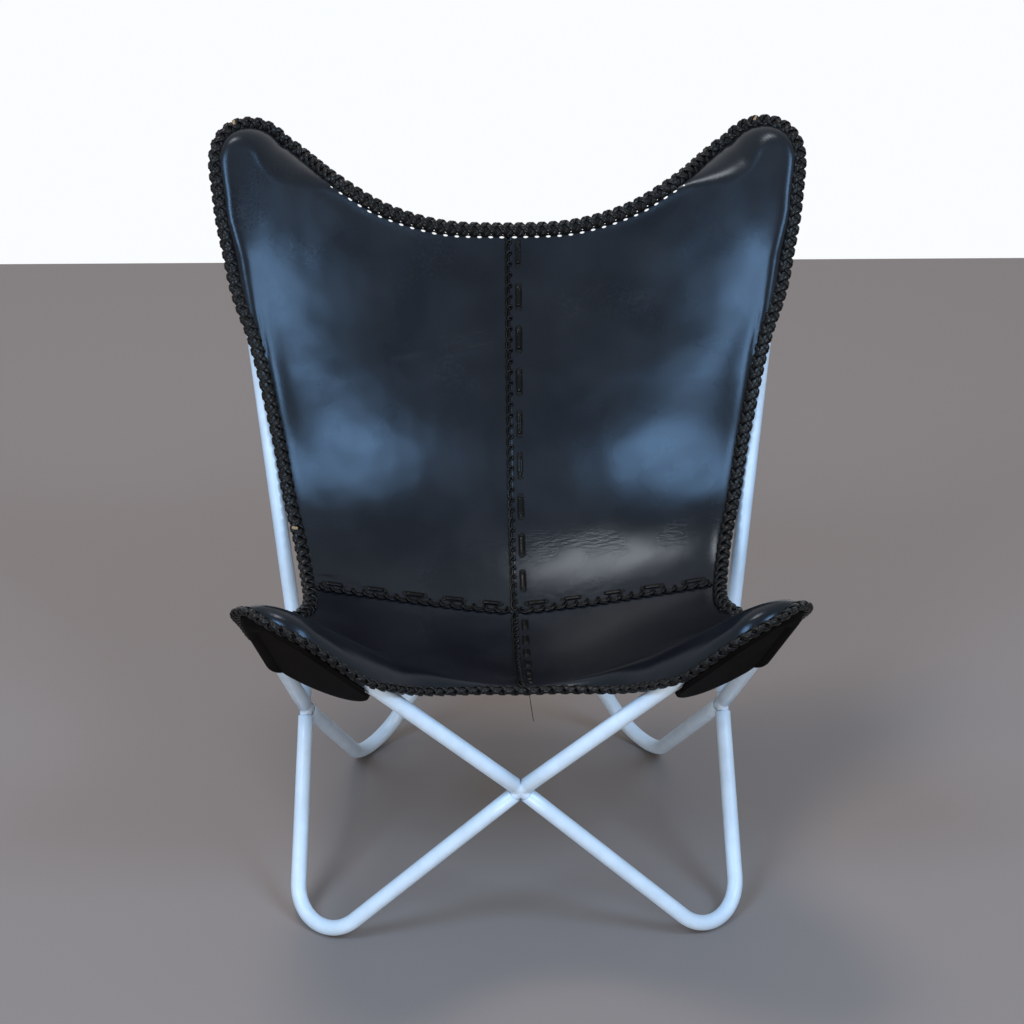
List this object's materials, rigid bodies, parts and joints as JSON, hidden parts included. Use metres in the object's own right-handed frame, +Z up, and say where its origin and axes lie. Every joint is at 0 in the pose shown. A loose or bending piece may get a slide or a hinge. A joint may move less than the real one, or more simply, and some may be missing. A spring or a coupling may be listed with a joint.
{
  "type": "butterfly sling chair",
  "caption": "Butterfly lounge chair: a laced dark leather sling hung by four pockets on a pale blue knock-down frame of bent steel tubes.",
  "frame": {"origin": "middle of the chair's bounding box in plan, on the floor", "axes": "+Z up, +X to the right as seen from the front, -Y towards the front, where the sitter faces"},
  "size_m": [0.7846, 0.7604, 0.8604],
  "materials": {
    "frame_enamel": "semi-gloss enamel",
    "sling_leather": "semi-gloss, slightly creased",
    "pocket_leather": "matte flesh side",
    "thong_leather": "satin"
  },
  "bodies": {
    "root": {"foot_tube_front_right": "frame_enamel", "foot_tube_front_left": "frame_enamel", "foot_tube_rear_right": "frame_enamel", "foot_tube_rear_left": "frame_enamel", "tip_tube_front_right": "frame_enamel", "tip_tube_front_left": "frame_enamel", "tip_tube_rear_right": "frame_enamel", "tip_tube_rear_left": "frame_enamel", "cross_connector_front": "frame_enamel", "cross_connector_rear": "frame_enamel", "cross_connector_right": "frame_enamel", "cross_connector_left": "frame_enamel", "back_panel_left": "sling_leather", "seat_panel_left": "sling_leather", "rear_pocket_left": "pocket_leather", "front_pocket_left": "pocket_leather", "back_panel_right": "sling_leather", "seat_panel_right": "sling_leather", "rear_pocket_right": "pocket_leather", "front_pocket_right": "pocket_leather", "edge_lacing_right": "thong_leather", "edge_lacing_left": "thong_leather", "edge_lacing_top": "thong_leather", "edge_lacing_front": "thong_leather", "centre_chain_back": "thong_leather", "centre_chain_seat": "thong_leather", "running_thong_back": "thong_leather", "running_thong_seat": "thong_leather", "cross_chain_left": "thong_leather", "cross_thong_left": "thong_leather", "cross_chain_right": "thong_leather", "cross_thong_right": "thong_leather"}
  },
  "joints": []
}
